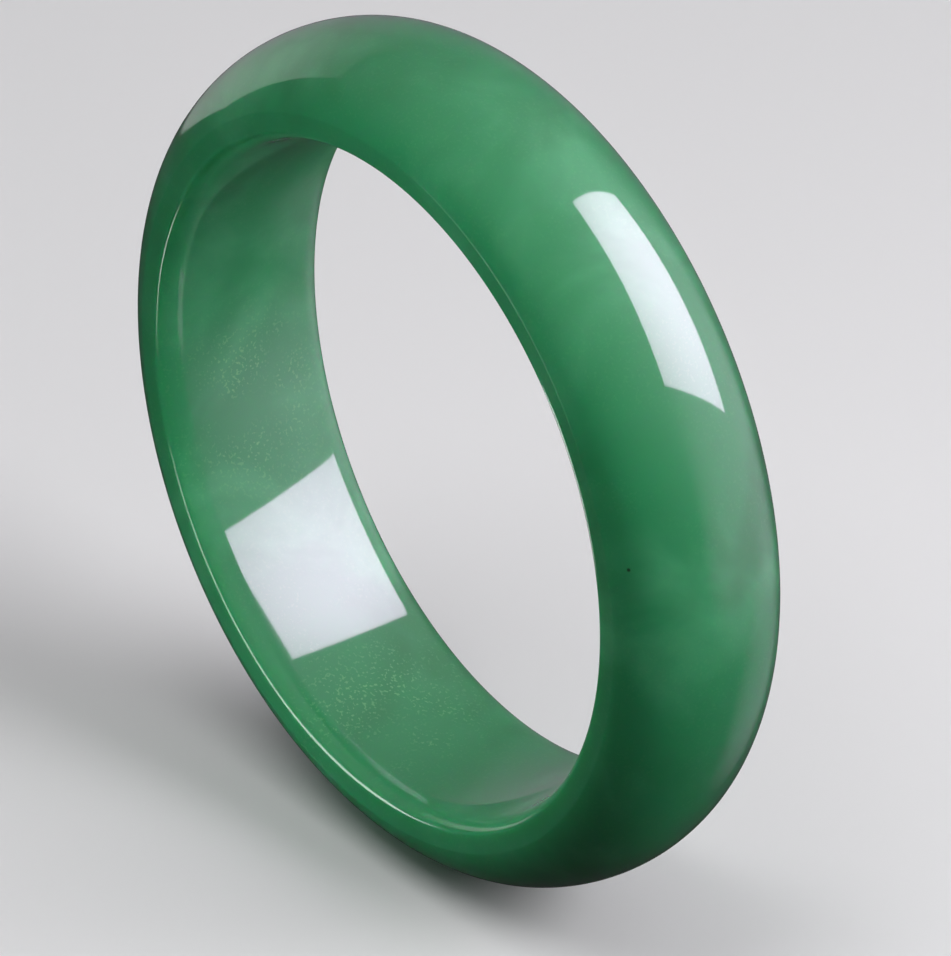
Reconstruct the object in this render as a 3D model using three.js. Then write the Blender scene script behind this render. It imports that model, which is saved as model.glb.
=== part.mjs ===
// Bangle bracelet: a plain closed ring, turned and polished from one block of green stone.
// Its bore swells slightly towards the middle, so that it is easy on the wrist, and its edges are
// softened. Each side has a narrow flat face, and a dome springs from the faces' outer edges.
//
// Units are millimetres and +Z is up. The ring stands on its rim: its axis lies along Y,
// and the origin is the centre of the bore, half way across the width.

import * as THREE from 'three';

// Driving dimensions
const BORE_DIAMETER = 57; // the opening that the hand passes through, at its narrowest
const WIDTH = 16.4; // along the ring's axis, from one side face to the other
const WALL = 8.3; // along the radius, from the middle of the bore to the crown of the dome
const BORE_SWELL_RADIUS = 42; // radius of the bore's gentle swell, seen in the section
const BORE_EDGE_WIDTH = 1.95; // softened bore edge, measured along the axis
const BORE_EDGE_HEIGHT = 0.8; // softened bore edge, measured along the radius
const SIDE_FACE_HEIGHT = 1.6; // flat face on each side, measured along the radius
const SHOULDER_ANGLE = THREE.MathUtils.degToRad(15); // between a side face and the dome's start

// Facets
const RING_STEPS = 96; // round the ring; a multiple of 4 puts corners on the X and Z axes
const BORE_STEPS = 6; // across the bore, between its softened edges
const BORE_EDGE_STEPS = 5; // along each softened bore edge
const DOME_STEPS = 20; // across the dome; an even number puts a corner on the crown

// Polished green stone
const STONE = { color: 0x3f8f63, roughness: 0.12, metalness: 0 };

const boreRadius = BORE_DIAMETER / 2;
const crownRadius = boreRadius + WALL;
const halfWidth = WIDTH / 2;
const halfBore = halfWidth - BORE_EDGE_WIDTH;
const sideInnerRadius = swellRadius(halfWidth) + BORE_EDGE_HEIGHT;
const sideOuterRadius = sideInnerRadius + SIDE_FACE_HEIGHT;
const domeRise = crownRadius - sideOuterRadius;

// Radius of the swollen bore at a place along the axis, counted from the middle.
function swellRadius(along) {
  return boreRadius + BORE_SWELL_RADIUS - Math.sqrt(BORE_SWELL_RADIUS ** 2 - along ** 2);
}

// Points in the section are (radius, place along the axis).

// The domed outside, from the -Y side face over the crown to the +Y one: the arc of an ellipse
// that rises by domeRise over half the width and leaves the side faces at the shoulder angle.
function domePoints() {
  const cosineAtFace = 1 / (halfWidth / (Math.tan(SHOULDER_ANGLE) * domeRise) - 1);
  const angleAtFace = Math.acos(cosineAtFace);
  const radialAxis = domeRise / (1 - cosineAtFace);
  const widthAxis = halfWidth / Math.sin(angleAtFace);
  const dome = new THREE.EllipseCurve(
    crownRadius - radialAxis, 0,
    radialAxis, widthAxis,
    -angleAtFace, angleAtFace,
  );
  return dome.getPoints(DOME_STEPS);
}

// The softened edge on the +Y side, from the side face down to the bore: a quarter ellipse
// that rises from the swell of the bore.
function boreEdgePoints() {
  const points = [];
  for (let step = BORE_EDGE_STEPS; step >= 0; step -= 1) {
    const angle = (Math.PI / 2) * (step / BORE_EDGE_STEPS);
    const along = halfBore + BORE_EDGE_WIDTH * Math.sin(angle);
    const lift = BORE_EDGE_HEIGHT * (1 - Math.cos(angle));
    points.push(new THREE.Vector2(swellRadius(along) + lift, along));
  }
  return points;
}

// The bore between its softened edges, without the points that they already have.
function borePoints() {
  const points = [];
  for (let step = 1; step < BORE_STEPS; step += 1) {
    const along = halfBore * (1 - (2 * step) / BORE_STEPS);
    points.push(new THREE.Vector2(swellRadius(along), along));
  }
  return points;
}

// The whole section, anticlockwise, closing on its first point.
function sectionPoints() {
  const dome = domePoints();
  const edge = boreEdgePoints();
  const mirroredEdge = edge.map((point) => new THREE.Vector2(point.x, -point.y)).reverse();
  return [...dome, ...edge, ...borePoints(), ...mirroredEdge, dome[0].clone()];
}

function stoneRing() {
  const geometry = new THREE.LatheGeometry(sectionPoints(), RING_STEPS);
  const ring = new THREE.Mesh(geometry, new THREE.MeshStandardMaterial(STONE));
  ring.name = 'stone_ring';
  return ring;
}

const bangle = new THREE.Group();
bangle.add(stoneRing());

export default bangle;
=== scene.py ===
"""A plain closed bangle bracelet of polished, cloudy green stone, on a pale studio floor.

The ring is turned from its section and polished. It stands on its rim: its axis lies along Y,
Z is up, and the origin is the centre of the bore. Lengths are in metres.
"""

import math

import bmesh
import bpy
from bpy.props import FloatProperty, FloatVectorProperty, PointerProperty
from mathutils import Euler, Matrix, Vector


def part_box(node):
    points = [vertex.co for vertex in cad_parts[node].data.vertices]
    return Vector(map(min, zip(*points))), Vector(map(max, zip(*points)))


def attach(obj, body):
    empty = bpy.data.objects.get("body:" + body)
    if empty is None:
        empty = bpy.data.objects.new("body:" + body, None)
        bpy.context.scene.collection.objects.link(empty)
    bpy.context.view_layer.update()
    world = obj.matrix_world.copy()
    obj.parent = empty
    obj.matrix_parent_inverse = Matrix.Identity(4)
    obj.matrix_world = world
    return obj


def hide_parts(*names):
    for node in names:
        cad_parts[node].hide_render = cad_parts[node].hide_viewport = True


bl_info = {
    "name": "Stone bangle",
    "version": (1, 0, 0),
    "blender": (4, 5, 0),
    "location": "3D View > Sidebar > Bangle",
    "description": "Turns and polishes a stone bangle and sets up a plain studio round it",
    "category": "Add Mesh",
}

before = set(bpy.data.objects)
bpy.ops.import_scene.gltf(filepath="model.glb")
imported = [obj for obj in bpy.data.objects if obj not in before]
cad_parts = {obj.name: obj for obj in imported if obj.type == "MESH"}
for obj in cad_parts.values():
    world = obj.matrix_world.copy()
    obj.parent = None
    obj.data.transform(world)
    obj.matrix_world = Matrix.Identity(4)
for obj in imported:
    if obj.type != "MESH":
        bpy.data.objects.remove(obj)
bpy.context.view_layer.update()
RING_LOW, RING_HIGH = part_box("stone_ring")

MM = 0.001

TOUCHING = MM / 1000  # corners this close together are one
ON_CREASE = MM / 100  # a corner this close to a crease is on it

# How finely the ring is cut
RING_STEPS = 360
DOME_STEPS = 44
SIDE_CUTS = 4
EDGE_STEPS = 12
BORE_CUTS = 17
CREASE_STEPS = 3

# The stone's clouds and marks. A patch or speck is whole out to its core and gone at its rim.
CLOUD_STRENGTH = 0.8
FLECK_STRENGTH = 0.5
FLECKS_ELSEWHERE = 0.15  # how crowded the flecks are away from their patches
FLECK_PATCHES = (Vector((-27.0, -1.0, -8.0)) * MM, Vector((-7.0, -1.0, -27.5)) * MM)
PATCH_CORE = 3 * MM
PATCH_RIM = 10 * MM
SPECK = Vector((32.6, -7.4, 7.7)) * MM
SPECK_CORE = 0.10 * MM
SPECK_RIM = 0.22 * MM
RIPPLE_STRENGTH = 0.12
RIPPLE_HEIGHT = 0.02 * MM

# How the stone bends and carries light
STONE_IOR = 1.66
LIGHT_REACH = (0.12, 1.0, 0.45)  # of red, green and blue, as shares of the depth

# The studio
BLACK = (0.0, 0.0, 0.0)
WHITE = (1.0, 1.0, 1.0)
LAVENDER = (1.02, 0.80, 1.08)
FAR = 3.0  # how far off the big sheets hang
FILL_FAR = 0.6  # how far off the two big fill lamps hang
FILL_SIZE = 0.45
NEAR_FILL_SIZE = 0.024
SOFTBOX_PLACE = Vector((84.09, 140.86, 156.75)) * MM
SOFTBOX_TURN = Euler([math.radians(a) for a in (56.115, 24.826, 106.50)])
SOFTBOX_SIZE = (0.18497, 0.20528)
SOFTBOX_FALL = 0.2  # how much of its glow is lost half way along an edge
SHEET_SLOPE = 0.34  # how steeply the foot of the sheet climbs to the right
SHEET_FALL = 0.7  # how much of its glow is lost at the top
STRIP_AIM = Vector((-11.0, -8.0, -27.0)) * MM  # the strip hangs close in front of this spot
FLOOR_REACH = 6.0  # from the middle of the floor to each side
FLOOR_ROUGHNESS = 0.9
ROOM_PAINT = 0.8
ROOM_GLOW_BELOW = 0.03

# The camera's long lens, and how far beside and below the middle of the bore it is aimed
LENS = 666.97
SENSOR_WIDTH = 36.0
AIM = Vector((1.686, -2.059, 0.0)) * MM


def length(name, description, default):
    """A length that a user may change."""
    return FloatProperty(
        name=name, description=description, default=default,
        min=0.0, unit="LENGTH", subtype="DISTANCE", precision=4,
    )


def share(name, description, default):
    """A number from nothing to all."""
    return FloatProperty(
        name=name, description=description, default=default,
        min=0.0, max=1.0, subtype="FACTOR",
    )


def colour(name, description, default):
    """A colour, as light that it sends back."""
    return FloatVectorProperty(
        name=name, description=description, default=default,
        size=3, min=0.0, max=1.0, subtype="COLOR",
    )


def angle(name, description, degrees):
    """An angle, given in degrees."""
    return FloatProperty(
        name=name, description=description, default=math.radians(degrees),
        unit="ROTATION", subtype="ANGLE",
    )


def brightness(name, description, default):
    """How brightly a lamp's face glows. At 1 it would look plain white."""
    return FloatProperty(name=name, description=description, default=default, min=0.0)


class RingSizes(bpy.types.PropertyGroup):
    """Sizes of the ring's section. The outside diameter and the width come from the frame."""

    bore_diameter: length("Bore", "Diameter of the bore, at its narrowest", 57 * MM)
    bore_swell_radius: length("Bore swell", "Radius of the bore's gentle swell", 42 * MM)
    bore_edge_width: length("Edge width", "Softened bore edge, along the axis", 1.95 * MM)
    bore_edge_height: length("Edge height", "Softened bore edge, along the radius", 0.8 * MM)
    side_face_height: length("Side face", "Flat face on each side, along the radius", 1.6 * MM)
    shoulder: angle("Shoulder", "Angle between a side face and the dome's start", 15)
    crease: length("Crease", "Width of the polished-over crease at the shoulder", 0.08 * MM)


class StoneFinish(bpy.types.PropertyGroup):
    """Colours and polish of the green stone."""

    body: colour("Body", "The stone's main green", (0.024, 0.250, 0.100))
    deep: colour("Deep", "Darker, richer clouds", (0.012, 0.170, 0.060))
    milky: colour("Milky", "Paler, milkier clouds", (0.070, 0.350, 0.170))
    fleck: colour("Fleck", "Fine pale flecks", (0.150, 0.460, 0.200))
    speck: colour("Speck", "The one dark speck", (0.006, 0.030, 0.015))
    roughness: share("Roughness", "How far the polish is from a mirror", 0.05)
    haze: share("Haze", "Strength of the faint haze over the polish", 0.7)
    haze_spread: share("Haze spread", "How widely the haze spreads a lamp", 0.65)
    depth: length("Depth", "How far light wanders inside the stone", 6.0 * MM)


class StudioSet(bpy.types.PropertyGroup):
    """The plain floor, the lamps and the camera."""

    floor: colour("Floor", "The pale floor", (0.72, 0.72, 0.73))
    wall: brightness("Wall", "How bright the far wall looks", 0.7)
    ceiling: brightness("Ceiling", "Glow of the room overhead", 0.38)
    softbox: brightness("Softbox", "Glow of the square softbox", 9.9)
    sheet: brightness("Sheet", "Glow of the pale sheet on the left", 0.75)
    backdrop: brightness("Backdrop", "Glow of the soft backdrop on the right", 1.05)
    far_glow: brightness("Far glow", "Glow of the dim backdrop on the far left", 0.14)
    back_glow: brightness("Back glow", "Glow of the soft card low behind the ring", 0.35)
    low_glow: brightness("Low glow", "Glow of the dim card low in front", 0.8)
    strip: brightness("Strip", "Glow of the small strip in front", 6.0)
    side_fill: brightness("Side fill", "Glow of the fill lamp at the side", 7.5)
    top_fill: brightness("Top fill", "Glow of the fill lamp overhead", 3.2)
    near_fill: brightness("Near fill", "Glow of the two small fill lamps in front", 5.6)
    azimuth: angle("Azimuth", "Where the camera stands, round the ring", 52.742)
    elevation: angle("Elevation", "Where the camera stands, above the floor", 31.628)
    distance: length("Distance", "From the camera to the ring", 1.4389)


def settings():
    """The bangle's settings in the open scene."""
    return bpy.context.scene.bangle


# ---------------------------------------------------------------- finish


class Wire:
    """A number or colour on its way through a finish. Sums on a number become Math nodes."""

    def __init__(self, bench, socket):
        self.bench = bench
        self.socket = socket

    def _math(self, operation, *terms):
        return self.bench.node("Math", {"operation": operation}, *terms)

    def __add__(self, other):
        return self._math("ADD", self, other)

    __radd__ = __add__

    def __mul__(self, other):
        return self._math("MULTIPLY", self, other)

    __rmul__ = __mul__

    def __sub__(self, other):
        return self._math("SUBTRACT", self, other)

    def __rsub__(self, other):
        return self._math("SUBTRACT", other, self)


class Bench:
    """Where the finish of a material or of the room is put together, node by node."""

    def __init__(self, owner):
        owner.use_nodes = True
        self.tree = owner.node_tree
        self.tree.nodes.clear()

    def node(self, kind, options=None, *values, output=0, **named):
        """Adds a node, with its options first and then the values or wires of its sockets."""
        made = self.tree.nodes.new("ShaderNode" + kind)
        for option, value in (options or {}).items():
            setattr(made, option, value)
        for key, value in [*enumerate(values), *named.items()]:
            socket = made.inputs[key.replace("_", " ") if isinstance(key, str) else key]
            if isinstance(value, Wire):
                self.tree.links.new(value.socket, socket)
            else:
                socket.default_value = value
        return Wire(self, made.outputs[output]) if made.outputs else made

    def place(self):
        """Where a point lies on the piece."""
        return self.node("TexCoord", output="Object")

    def away(self, spot):
        """How far a point lies from a spot."""
        return self.node("VectorMath", {"operation": "DISTANCE"}, self.place(), spot, output=1)

    def part(self, place, way):
        """How far along X, Y or Z a place lies."""
        return self.node("SeparateXYZ", Vector=place, output=way)

    def clouds(self, to_the_metre, detail, **named):
        """Soft clouds, about as many to the metre as given."""
        return self.node(
            "TexNoise", Vector=self.place(), Scale=to_the_metre, Detail=detail, **named
        )

    def between(self, value, low, high):
        """A soft step of value, from nothing at low to all at high."""
        options = {"interpolation_type": "SMOOTHSTEP", "clamp": True}
        return self.node("MapRange", options, value, low, high, 0.0, 1.0)

    def near(self, spot, core, rim):
        """All within core of a spot, and nothing beyond rim."""
        return 1.0 - self.between(self.away(spot), core, rim)

    def mix(self, factor, first, second):
        """A colour that goes from first to second."""
        made = self.tree.nodes.new("ShaderNodeMix")
        made.data_type = "RGBA"
        self.tree.links.new(factor.socket, made.inputs[0])
        for socket, value in ((made.inputs[6], first), (made.inputs[7], second)):
            if isinstance(value, Wire):
                self.tree.links.new(value.socket, socket)
            else:
                socket.default_value = (*value, 1.0)
        return Wire(self, made.outputs[2])


def green_stone():
    """Polished, cloudy, slightly translucent green stone with fine pale flecks."""
    stone = settings().stone
    material = bpy.data.materials.new("polished_green_stone")
    bench = Bench(material)

    clouds = bench.clouds(to_the_metre=85.0, detail=4.0, Distortion=0.5)
    milky = bench.between(clouds, low=0.46, high=0.74)
    body = bench.mix(milky * CLOUD_STRENGTH, stone.body, stone.milky)
    clouds = bench.clouds(to_the_metre=60.0, detail=3.0, Distortion=0.4)
    deep = bench.between(clouds, low=0.50, high=0.76)
    body = bench.mix(deep * CLOUD_STRENGTH, body, stone.deep)

    drifts = bench.between(bench.clouds(to_the_metre=160.0, detail=2.0), low=0.32, high=0.58)
    patches = sum(bench.near(spot, PATCH_CORE, PATCH_RIM) for spot in FLECK_PATCHES)
    crowd = drifts * (FLECKS_ELSEWHERE + patches)
    flecks = bench.between(bench.clouds(to_the_metre=3600.0, detail=1.0), low=0.56, high=0.70)
    body = bench.mix(flecks * crowd * FLECK_STRENGTH, body, stone.fleck)
    body = bench.mix(bench.near(SPECK, SPECK_CORE, SPECK_RIM), body, stone.speck)

    ripple = bench.node(
        "Bump", Strength=RIPPLE_STRENGTH, Distance=RIPPLE_HEIGHT,
        Height=bench.clouds(to_the_metre=220.0, detail=2.0),
    )
    surface = bench.node(
        "BsdfPrincipled", {"subsurface_method": "RANDOM_WALK"},
        Base_Color=body, Roughness=stone.roughness, IOR=STONE_IOR, Normal=ripple,
        Subsurface_Weight=1.0, Subsurface_Radius=LIGHT_REACH, Subsurface_Scale=stone.depth,
        Coat_Weight=stone.haze, Coat_Roughness=stone.haze_spread,
    )
    bench.node("OutputMaterial", Surface=surface)
    return material


def add_object(name, mesh):
    """Puts a finished mesh in the scene, as an object of that name."""
    data = bpy.data.meshes.new(name)
    mesh.to_mesh(data)
    mesh.free()
    made = bpy.data.objects.new(name, data)
    bpy.context.scene.collection.objects.link(made)
    return made


# ---------------------------------------------------------------- ring


def arc(mesh, centre, half_axes, start, end, steps):
    """Draws part of an ellipse in the XY plane, turning anticlockwise from start to end."""
    known = set(mesh.verts)
    first = mesh.verts.new((math.cos(start), math.sin(start), 0.0))
    bmesh.ops.spin(
        mesh, geom=[first], cent=(0.0, 0.0, 0.0), axis=(0.0, 0.0, 1.0),
        angle=end - start, steps=steps,
    )
    drawn = [v for v in mesh.verts if v not in known]
    placing = Matrix.LocRotScale(Vector((*centre, 0.0)), None, Vector((*half_axes, 1.0)))
    bmesh.ops.transform(mesh, matrix=placing, verts=drawn)
    return drawn


def draw_half_section(mesh):
    """Draws the +Y half of the ring's section: X is the radius and Y lies along the axis.

    Gives back the radius at which the side face ends and the dome starts.
    """
    sizes = settings().sizes
    crown, half_width = RING_HIGH.x, RING_HIGH.y
    bore = sizes.bore_diameter / 2
    half_bore = half_width - sizes.bore_edge_width
    swell = sizes.bore_swell_radius

    edge = arc(
        mesh, (bore + sizes.bore_edge_height, half_bore),
        (sizes.bore_edge_height, sizes.bore_edge_width), math.pi / 2, math.pi, EDGE_STEPS,
    )
    ends = (min(edge, key=lambda v: v.co.y), mesh.verts.new((bore, 0.0, 0.0)))
    bmesh.ops.subdivide_edges(mesh, edges=[mesh.edges.new(ends)], cuts=BORE_CUTS)
    for vert in mesh.verts:
        vert.co.x += swell - math.sqrt(swell**2 - vert.co.y**2)

    side_inner = max(mesh.verts, key=lambda v: v.co.y)
    side_outer = side_inner.co.x + sizes.side_face_height
    rise = crown - side_outer
    cosine = 1 / (half_width / (math.tan(sizes.shoulder) * rise) - 1)
    end = math.acos(cosine)
    radial = rise / (1 - cosine)
    dome = arc(
        mesh, (crown - radial, 0.0), (radial, half_width / math.sin(end)), 0.0, end, DOME_STEPS
    )
    ends = (side_inner, max(dome, key=lambda v: v.co.y))
    bmesh.ops.subdivide_edges(mesh, edges=[mesh.edges.new(ends)], cuts=SIDE_CUTS)
    return side_outer


def turn_ring():
    """Draws the section, turns it round the Y axis and polishes over the two creases."""
    mesh = bmesh.new()
    shoulder = draw_half_section(mesh)
    half = mesh.verts[:] + mesh.edges[:]
    bmesh.ops.mirror(mesh, geom=half, matrix=Matrix(), merge_dist=TOUCHING, axis="Y")
    bmesh.ops.spin(
        mesh, geom=mesh.verts[:] + mesh.edges[:], cent=(0.0, 0.0, 0.0), axis=(0.0, 1.0, 0.0),
        angle=2 * math.pi, steps=RING_STEPS, use_merge=True,
    )
    bmesh.ops.remove_doubles(mesh, verts=mesh.verts[:], dist=TOUCHING)
    bmesh.ops.recalc_face_normals(mesh, faces=mesh.faces[:])

    def on_crease(vert):
        radius = math.hypot(vert.co.x, vert.co.z)
        beyond = abs(vert.co.y) - RING_HIGH.y
        return abs(radius - shoulder) < ON_CREASE and abs(beyond) < ON_CREASE

    creases = [e for e in mesh.edges if all(on_crease(v) for v in e.verts)]
    bmesh.ops.bevel(
        mesh, geom=creases, offset=settings().sizes.crease, affect="EDGES",
        segments=CREASE_STEPS, profile=0.5, material=-1,
    )
    for face in mesh.faces:
        face.smooth = True
    return mesh


class BANGLE_OT_ring(bpy.types.Operator):
    """Turns the stone ring, polishes it and puts it in the frame"""

    bl_idname = "bangle.ring"
    bl_label = "Turn Stone Ring"
    bl_options = {"REGISTER", "UNDO"}

    def execute(self, context):
        ring = add_object("polished_ring", turn_ring())
        ring.data.materials.append(green_stone())
        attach(ring, "root")
        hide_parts("stone_ring")
        return {"FINISHED"}


# ---------------------------------------------------------------- stage


def direction(around, up):
    """The way to look from the ring: 0 round is the front, and a quarter turn is the right."""
    return Vector((
        math.sin(around) * math.cos(up), -math.cos(around) * math.cos(up), math.sin(up)
    ))


def looking(azimuth, elevation, distance):
    """A place that far from the ring, in degrees round and up, turned to face it."""
    way = direction(math.radians(azimuth), math.radians(elevation))
    return Matrix.LocRotScale(way * distance, way.to_track_quat("Z", "Y"), None)


def add_fill(name, placing, size, glow):
    """A round lamp that lights the body of the stone and doesn't show in its polish."""
    lamp = bpy.data.lights.new(name, "AREA")
    lamp.shape = "DISK"
    lamp.size = size
    lamp.energy = glow * (math.pi * size / 2) ** 2  # the power that gives its face that glow
    holder = bpy.data.objects.new(name, lamp)
    holder.matrix_world = placing
    holder.visible_camera = False
    holder.visible_glossy = False
    bpy.context.scene.collection.objects.link(holder)
    return holder


def add_reflector(name, placing, size, glow, tint, face):
    """A see-through sheet that glows, and shows only in the polish.

    face says how much of the glow each place has. Places run from -1 to 1, across to the right
    and along upwards, for someone who faces the ring from behind the sheet.
    """
    mesh = bmesh.new()
    bmesh.ops.create_grid(mesh, x_segments=1, y_segments=1, size=0.5)
    bmesh.ops.scale(mesh, vec=(*size, 1.0), verts=mesh.verts[:])
    sheet = add_object(name, mesh)
    sheet.matrix_world = placing
    sheet.visible_camera = False
    sheet.visible_diffuse = False
    sheet.visible_shadow = False

    material = bpy.data.materials.new(name)
    bench = Bench(material)
    across = bench.part(bench.place(), "X") * (2 / size[0])
    along = bench.part(bench.place(), "Y") * (2 / size[1])
    colour_here = bench.mix(face(bench, across, along), BLACK, tint)
    light = bench.node("Emission", Color=colour_here, Strength=glow)
    clear = bench.node("BsdfTransparent")
    bench.node("OutputMaterial", Surface=bench.node("AddShader", None, light, clear))
    sheet.data.materials.append(material)


def softbox_face(bench, across, along):
    """Brightest in the middle, and a little down at the edges."""
    return 1.0 - (across * across + along * along) * SOFTBOX_FALL


def sheet_face(bench, across, along):
    """Cut off sharply at its right and along its sloping foot, and fading at its left and top."""
    foot = bench.between(along - across * SHEET_SLOPE, low=-0.86, high=-0.80)
    top = 1.0 - bench.between(along, low=0.2, high=1.0) * SHEET_FALL
    left = bench.between(across, low=-1.1, high=0.8)
    return foot * top * left


def backdrop_face(bench, across, along):
    """Brightest just below its middle, and fading at every edge."""
    foot = bench.between(along, low=-1.0, high=-0.1)
    top = 1.0 - bench.between(along, low=-0.2, high=1.1)
    sides = 1.0 - bench.between(across * across, low=0.0, high=1.0)
    return foot * top * sides


def round_face(bench, across, along):
    """Brightest in the middle, and fading to nothing all round."""
    return 1.0 - bench.between(across * across + along * along, low=0.0, high=1.0)


def strip_face(bench, across, along):
    """Even from foot to top, and fading at its sides."""
    return 1.0 - bench.between(across * across, low=0.4, high=1.0)


def add_room():
    """The room: a pale wall to look at, and a dim glow that grows overhead and lights the ring."""
    studio = settings().studio
    room = bpy.data.worlds.new("room")
    bench = Bench(room)
    upward = bench.part(bench.node("TexCoord", output="Generated"), "Z")
    below = ROOM_PAINT * ROOM_GLOW_BELOW
    above = ROOM_PAINT * (ROOM_GLOW_BELOW + studio.ceiling)
    glow = bench.mix(bench.between(upward, low=0.0, high=1.0), (below,) * 3, (above,) * 3)
    overhead = bench.node("Background", Color=glow, Strength=1.0)
    paint = (ROOM_PAINT, ROOM_PAINT, ROOM_PAINT, 1.0)
    wall = bench.node("Background", Color=paint, Strength=studio.wall)
    seen = bench.node("LightPath", output="Is Camera Ray")
    bench.node("OutputWorld", Surface=bench.node("MixShader", None, seen, overhead, wall))
    bpy.context.scene.world = room


def add_floor():
    """A wide pale floor under the ring's rim, which the ring doesn't mirror."""
    mesh = bmesh.new()
    bmesh.ops.create_grid(mesh, x_segments=1, y_segments=1, size=FLOOR_REACH)
    bmesh.ops.translate(mesh, vec=(0.0, 0.0, RING_LOW.z), verts=mesh.verts[:])
    floor = add_object("floor", mesh)
    material = bpy.data.materials.new("floor")
    bench = Bench(material)
    colour_here = (*settings().studio.floor, 1.0)
    paint = bench.node("BsdfPrincipled", Base_Color=colour_here, Roughness=FLOOR_ROUGHNESS)
    bench.node("OutputMaterial", Surface=paint)
    floor.data.materials.append(material)
    floor.visible_glossy = False
    floor.visible_diffuse = False
    floor.visible_shadow = False


def add_camera():
    """A long lens, a long way off, aimed just beside the middle of the bore."""
    studio = settings().studio
    back = direction(studio.azimuth, studio.elevation)
    turn = back.to_track_quat("Z", "Y")
    camera = bpy.data.cameras.new("camera")
    camera.lens = LENS
    camera.sensor_width = SENSOR_WIDTH
    holder = bpy.data.objects.new("camera", camera)
    holder.rotation_euler = turn.to_euler()
    holder.location = turn @ AIM + back * studio.distance
    bpy.context.scene.collection.objects.link(holder)
    bpy.context.scene.camera = holder


def hang_reflectors():
    """Hangs the sheets that glow, all round the ring."""
    studio = settings().studio
    softbox = Matrix.LocRotScale(SOFTBOX_PLACE, SOFTBOX_TURN, None)
    strip = Matrix.Translation(STRIP_AIM) @ looking(-27, 5, 30 * MM)
    for name, placing, size, glow, tint, face in (
        ("softbox", softbox, SOFTBOX_SIZE, studio.softbox, LAVENDER, softbox_face),
        ("sheet", looking(-104, 2, FAR), (3.3, 3.0), studio.sheet, WHITE, sheet_face),
        ("backdrop", looking(148, 3, FAR), (7.0, 5.6), studio.backdrop, LAVENDER, backdrop_face),
        ("far_glow", looking(-130, -4, FAR), (2.8, 3.2), studio.far_glow, LAVENDER, round_face),
        ("back_glow", looking(172, -36, FAR), (3.0, 2.6), studio.back_glow, LAVENDER, round_face),
        ("low_glow", looking(-33, -15, 0.5), (0.15, 0.12), studio.low_glow, WHITE, strip_face),
        ("strip", strip, (7 * MM, 16 * MM), studio.strip, WHITE, strip_face),
    ):
        add_reflector(name, placing, size, glow, tint, face)


def hang_fills():
    """Hangs the round lamps. The two small ones stand close in front and light only the ring."""
    studio = settings().studio
    add_fill("side_fill", looking(115, 28, FILL_FAR), FILL_SIZE, studio.side_fill)
    add_fill("top_fill", looking(0, 72, FILL_FAR), FILL_SIZE, studio.top_fill)
    ring_only = bpy.data.collections.new("ring_only")
    ring_only.objects.link(bpy.data.objects["polished_ring"])
    for name, spot, strength in (
        ("low_fill", (-16.0, -48.0, -34.0), 1.15),
        ("high_fill", (6.0, -48.0, 32.0), 0.9),
    ):
        placing = Matrix.Translation(Vector(spot) * MM) @ looking(0, 0, 0.0)
        lamp = add_fill(name, placing, NEAR_FILL_SIZE, studio.near_fill * strength)
        lamp.light_linking.receiver_collection = ring_only


class BANGLE_OT_stage(bpy.types.Operator):
    """Lays the floor, hangs the lamps and sets up the camera"""

    bl_idname = "bangle.stage"
    bl_label = "Set Up Studio"
    bl_options = {"REGISTER", "UNDO"}

    def execute(self, context):
        add_floor()
        hang_reflectors()
        hang_fills()
        add_room()
        context.scene.view_settings.view_transform = "Standard"
        add_camera()
        return {"FINISHED"}


# ---------------------------------------------------------------- panel


class BangleSettings(bpy.types.PropertyGroup):
    """All that a user may change."""

    sizes: PointerProperty(type=RingSizes, name="Sizes", description="Sizes of the ring")
    stone: PointerProperty(type=StoneFinish, name="Stone", description="Finish of the stone")
    studio: PointerProperty(type=StudioSet, name="Studio", description="Floor, lamps, camera")


class BANGLE_PT_panel(bpy.types.Panel):
    """Lists the steps and what may be changed"""

    bl_idname = "BANGLE_PT_panel"
    bl_label = "Bangle"
    bl_space_type = "VIEW_3D"
    bl_region_type = "UI"
    bl_category = "Bangle"

    def draw(self, context):
        bangle = settings()
        for step, groups in (
            (BANGLE_OT_ring, (bangle.sizes, bangle.stone)),
            (BANGLE_OT_stage, (bangle.studio,)),
        ):
            box = self.layout.box()
            box.operator(step.bl_idname)
            for group in groups:
                for name in group.__annotations__:
                    box.prop(group, name)


CLASSES = (
    RingSizes, StoneFinish, StudioSet, BangleSettings,
    BANGLE_OT_ring, BANGLE_OT_stage, BANGLE_PT_panel,
)


def register():
    for made in CLASSES:
        bpy.utils.register_class(made)
    bpy.types.Scene.bangle = PointerProperty(type=BangleSettings)


def unregister():
    del bpy.types.Scene.bangle
    for made in reversed(CLASSES):
        bpy.utils.unregister_class(made)


def main():
    """Makes the bangle and its studio."""
    register()
    bpy.ops.bangle.ring()
    bpy.ops.bangle.stage()


if __name__ == "__main__":
    main()
